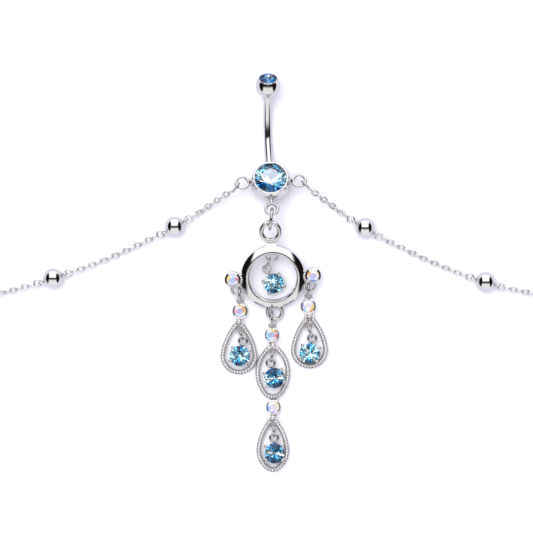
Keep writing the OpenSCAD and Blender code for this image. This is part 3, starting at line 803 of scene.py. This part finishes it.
def floor_board(tint):
    """The matt white board that everything lies on; metal mirrors it a little darker, a painted
    shade.
    """
    r, z = FLOOR_HALF, FLOOR_Z
    data = bpy.data.meshes.new("floor")
    data.from_pydata([(-r, -r, z), (r, -r, z), (r, r, z), (-r, r, z)], [], [(0, 1, 2, 3)])
    material, board, shader = new_material("Matt white board")
    place = board.add("ShaderNodeTexCoord").outputs["Object"]
    speck = tuple(c * SPECK_SHADE for c in tint) + (1.0,)
    mirrored = tuple(c * MIRRORED_SHADE for c in tint) + (1.0,)
    grained = board.mix(board.noise(place, scale=900.0, detail=2.0), (*tint, 1.0), speck)
    # Painted shade: the floor is darker only in reflections
    glossy = board.add("ShaderNodeLightPath").outputs["Is Glossy Ray"]
    board.fill(shader, {"Base Color": board.mix(glossy, grained, mirrored),
                        "Roughness": 0.9, "Specular IOR Level": 0.0})
    data.materials.append(material)
    return link_object("floor", data)


def wash_light(strength):
    """A square light a metre from the chain that lights the floor; no metal or glass mirrors it."""
    data = bpy.data.lights.new("Wash", "AREA")
    data.shape = "SQUARE"
    data.size = WASH_SIDE
    data.energy = WASH_RADIANCE * strength * math.pi * WASH_SIDE * WASH_SIDE
    data.color = WASH_TINT
    made = link_object("Wash", data)
    way = Vector(WASH_WAY)
    made.location = Vector(WASHED_PLACE) + way.normalized()
    made.rotation_euler = way.to_track_quat("Z", "Y").to_euler()
    made.visible_camera = made.visible_glossy = made.visible_transmission = False


def studio_group():
    """What polished metal sees round it: a soft box behind, a pale panel in front, a dark room.

    Cut stones see the same room broken into sparkling patches.
    """
    tree, board, given, out = new_group(
        "Mirrored studio", "ShaderNodeTree",
        [("Direction", "NodeSocketVector", None), ("Key", "NodeSocketFloat", KEY),
         ("Panel", "NodeSocketFloat", FORE_PANEL), ("Sparkle", "NodeSocketFloat", SPARKLE)],
        [("Color", "NodeSocketColor"), ("Patches", "NodeSocketColor")])
    parts = board.add("ShaderNodeSeparateXYZ", {0: given["Direction"]}).outputs
    pitch = board.math("ARCTAN2", parts["Y"], parts["Z"])
    side = board.math("ARCSINE", board.math("ABSOLUTE", parts["X"]))
    from_top = board.math("ARCCOSINE", parts["Z"])

    def fade(value, start, end):
        """Rises smoothly from 0 at start to 1 at end, whichever of them is higher."""
        low, high = sorted((start, end))
        first, last = (0.0, 1.0) if start < end else (1.0, 0.0)
        return board.ranged(value, low, high, first, last, interpolation_type="SMOOTHSTEP")

    def turned(angle, start, end):
        """The same between two angles in degrees."""
        return fade(angle, math.radians(start), math.radians(end))

    key = board.times(board.times(turned(pitch, 3, 9), turned(side, 42, 34)), given["Key"])
    fore = board.times(board.times(turned(pitch, -6, -34), turned(side, 47, 38)), given["Panel"])
    horizon = board.times(fade(parts["Z"], 0.13, 0.07), HORIZON)
    overhead = board.times(turned(from_top, 24, 6), OVERHEAD)
    total = board.math("MAXIMUM", board.math("MAXIMUM", key, fore), horizon)
    total = board.plus(total, overhead)
    warm = board.add("ShaderNodeCombineXYZ", {
        axis: board.plus(board.times(total, gain), left) for axis, gain, left in WARMTH})

    cells = board.add("ShaderNodeTexVoronoi", {"Vector": given["Direction"], "Scale": PATCH_SCALE})
    drawn = board.add("ShaderNodeSeparateColor", {0: cells.outputs["Color"]}).outputs[0]
    bright = board.times(board.math("GREATER_THAN", drawn, BRIGHT_ABOVE), given["Sparkle"])
    middling = board.times(board.math("GREATER_THAN", drawn, MIDDLING_ABOVE), MIDDLING)
    patch = board.plus(board.math("MAXIMUM", bright, middling), DARK)
    grey = board.add("ShaderNodeCombineXYZ", {"X": patch, "Y": patch, "Z": patch})
    board.fill(out, {0: warm.outputs[0], 1: grey.outputs[0]})
    return tree


def studio_world(look):
    """The room: mirrored by metal, in patches through stones, and an even haze on what is matt."""
    world = bpy.data.worlds.new("Studio")
    world.use_nodes = True
    board = Board(world.node_tree)
    room = board.add("ShaderNodeGroup", {
        "Direction": board.add("ShaderNodeTexCoord").outputs["Generated"],
        "Key": look.key, "Panel": look.panel, "Sparkle": look.sparkle},
        node_tree=studio_group()).outputs
    path = board.add("ShaderNodeLightPath").outputs
    seen = board.mix(path["Is Transmission Ray"], room["Color"], room["Patches"])
    lit = board.mix(path["Is Diffuse Ray"], seen, (*look.haze, 1.0))
    board.fill(world.node_tree.nodes["Background"], {"Color": lit})
    return world


def overhead_camera():
    """A long lens straight above the picture's middle."""
    camera = bpy.data.cameras.new("Overhead camera")
    camera.sensor_width = 36.0
    camera.lens = 200.0
    camera.clip_start = 0.01
    camera.clip_end = 50.0
    camera.dof.use_dof = False
    made = link_object("Overhead camera", camera)
    x, y, z = PICTURE_MIDDLE
    made.location = (x, y, z + PICTURE_WIDTH * camera.lens / camera.sensor_width)
    return made


# Operators

class PolishMetal(bpy.types.Operator):
    """Gives the barbell, pendant, rings and beads their polished metal"""
    bl_idname = "bellychain.polish_metal"
    bl_label = "Polish metal"

    def execute(self, context):
        look = context.scene.belly_chain.metal
        # Name, colour, dull colour, roughness beyond the polish, unevenness, metallic and nodes
        metals = (
            ("Barbell steel", look.steel, (0.66, 0.655, 0.67), 0.0, 0.25, 1.0, BARBELL),
            ("Bead steel", look.steel, (0.68, 0.675, 0.685), 0.0, 0.2, 1.0, STATION_BEADS),
            ("Bright plating", look.plating, (0.66, 0.65, 0.655), 0.02, 0.5, 1.0, PLATED),
            # Ring wire's darker colour is painted shade: it stands in for the shade on thin wire
            ("Ring wire", (0.6, 0.58, 0.585), (0.5, 0.48, 0.485), 0.03, 0.3, 1.0, RINGS),
            ("Cast plating", (0.92, 0.905, 0.91), (0.84, 0.82, 0.825), 0.06, 0.6, 0.88,
             DROP_FRAMES))
        for name, base, dull, rougher, uneven, metallic, nodes in metals:
            material = metal(name, base, dull, look.polish + rougher, uneven, metallic)
            for node in nodes:
                dress(node, material)
        return {"FINISHED"}


def set_stone(node, materials, paint, seed):
    """Puts a stone of its own look in place of a packed one."""
    made = cut_stone(node, materials, paint, seed)
    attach(made, "screw_ball" if node == "top_ball_stone" else "chain")
    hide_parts(node)


class CutBlueStones(bpy.types.Operator):
    """Sets the blue stones, each with a foiled back"""
    bl_idname = "bellychain.blue_stones"
    bl_label = "Blue stones"

    def execute(self, context):
        look = context.scene.belly_chain.stone
        glass = stone_material("Blue glass", transmission=1.0)
        milky = stone_material("Sapphire table", transmission=0.6, coat=0.3)
        foil = stone_material("Foil behind blue glass", metallic=1.0)
        sapphire = (WHITE, tuple(look.navel), tuple(look.navel_full), tuple(look.navel_deep))
        zircon = (WHITE, tuple(look.dangle), tuple(look.dangle_full), tuple(look.dangle_deep))
        for node, (tones, mains, seed) in BLUE_STONES.items():
            table = milky if node == "navel_stone" else glass
            if node.endswith("dangle_stone"):
                paint, slot = blue_paint(zircon, tones, mains, HANGING_SHARES), "blue_zircon_glass"
            else:
                paint, slot = blue_paint(sapphire, tones, mains, BALL_SHARES), "sapphire_glass"
            set_stone(node, (glass, table, foil), paint, seed)
        return {"FINISHED"}


class CoatClearStones(bpy.types.Operator):
    """Sets the small clear stones with their rainbow coating"""
    bl_idname = "bellychain.rainbow_stones"
    bl_label = "Rainbow stones"

    def execute(self, context):
        crown = stone_material("Rainbow coated glass", transmission=0.3, ior=1.6, coat=0.6)
        table = stone_material("Rainbow coated table", transmission=0.5, ior=1.6, coat=0.3)
        foil = stone_material("Foil behind clear glass", metallic=1.0)
        for seed, (node, colours) in enumerate(RAINBOW_STONES.items(), FIRST_RAINBOW_SEED):
            set_stone(node, (crown, table, foil), rainbow_paint(*colours), seed)
        return {"FINISHED"}


class BeadEdges(bpy.types.Operator):
    """Sets a row of grains along each drop's band"""
    bl_idname = "bellychain.beaded_edges"
    bl_label = "Beaded edges"

    def execute(self, context):
        sizes = context.scene.belly_chain.edge
        material = metal("Grain plating", (0.98, 0.97, 0.975), (0.92, 0.905, 0.91),
                         roughness=0.05, uneven=0.2, metallic=0.88)
        tree = grain_tree()
        for name, drops in (("left_drop_grains", ("left",)), ("right_drop_grains", ("right",)),
                            ("centre_drop_grains", ("upper", "lower"))):
            made = grown(name, [drop_outline(DROPS[drop]) for drop in drops], tree, {
                "Grain": sizes.grain, "Step": sizes.step, "Material": material})
            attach(made, "chain")
        return {"FINISHED"}


class LinkChain(bpy.types.Operator):
    """Lays the waist chain's links and the pins that carry its beads"""
    bl_idname = "bellychain.waist_links"
    bl_label = "Waist chain links"

    def execute(self, context):
        sizes = context.scene.belly_chain.chain
        material = metal("Link steel", (0.86, 0.845, 0.85), (0.74, 0.72, 0.725),
                         roughness=0.05, uneven=0.4)
        links, pins = link_tree(), pin_tree()
        for side, route in (("left", LEFT_ROUTE), ("right", RIGHT_ROUTE)):
            link_lines, pin_lines = chain_lines(route)
            chain = grown(f"links_{side}", link_lines, links, {
                "Link length": sizes.link_length, "Link width": sizes.link_width,
                "Wire": sizes.wire, "Pitch": sizes.pitch, "Roll": sizes.roll,
                "Material": material})
            held = grown(f"bead_pins_{side}", pin_lines, pins, {
                "Eye": sizes.eye, "Ring": sizes.ring, "Wire": sizes.wire, "Material": material})
            for made in (chain, held):
                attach(made, "chain")
            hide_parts(f"chain_{side}")
        return {"FINISHED"}


class SetStage(bpy.types.Operator):
    """Builds the floor, the lights and the camera"""
    bl_idname = "bellychain.stage"
    bl_label = "Stage"

    def execute(self, context):
        look = context.scene.belly_chain.studio
        floor = floor_board(look.floor)
        wash_light(look.wash)
        context.scene.world = studio_world(look)
        context.scene.view_settings.view_transform = "Standard"
        context.scene.camera = overhead_camera()
        return {"FINISHED"}


class BellyChainPanel(bpy.types.Panel):
    """Lists the steps and their sizes"""
    bl_idname = "VIEW3D_PT_belly_chain"
    bl_label = "Belly chain"
    bl_space_type = "VIEW_3D"
    bl_region_type = "UI"
    bl_category = "Belly chain"

    def draw(self, context):
        for step in STEPS:
            self.layout.operator(step.bl_idname)
        settings = context.scene.belly_chain
        for group in (settings.chain, settings.edge, settings.metal, settings.stone,
                      settings.studio):
            box = self.layout.box()
            for name in group.__annotations__:
                box.prop(group, name)


SETTINGS = (ChainSizes, EdgeSizes, MetalLook, StoneLook, StudioLook, BellyChain)
STEPS = (PolishMetal, CutBlueStones, CoatClearStones, BeadEdges, LinkChain, SetStage)
CLASSES = SETTINGS + STEPS + (BellyChainPanel,)


def register():
    """Registers the classes and the scene's settings."""
    for cls in CLASSES:
        bpy.utils.register_class(cls)
    bpy.types.Scene.belly_chain = bpy.props.PointerProperty(type=BellyChain)


def unregister():
    """Takes the settings and classes away again."""
    del bpy.types.Scene.belly_chain
    for cls in reversed(CLASSES):
        bpy.utils.unregister_class(cls)


def main():
    """Runs every step in order."""
    register()
    bpy.ops.bellychain.polish_metal()
    bpy.ops.bellychain.blue_stones()
    bpy.ops.bellychain.rainbow_stones()
    bpy.ops.bellychain.beaded_edges()
    bpy.ops.bellychain.waist_links()
    bpy.ops.bellychain.stage()
    bpy.context.view_layer.update()


if __name__ == "__main__":
    main()
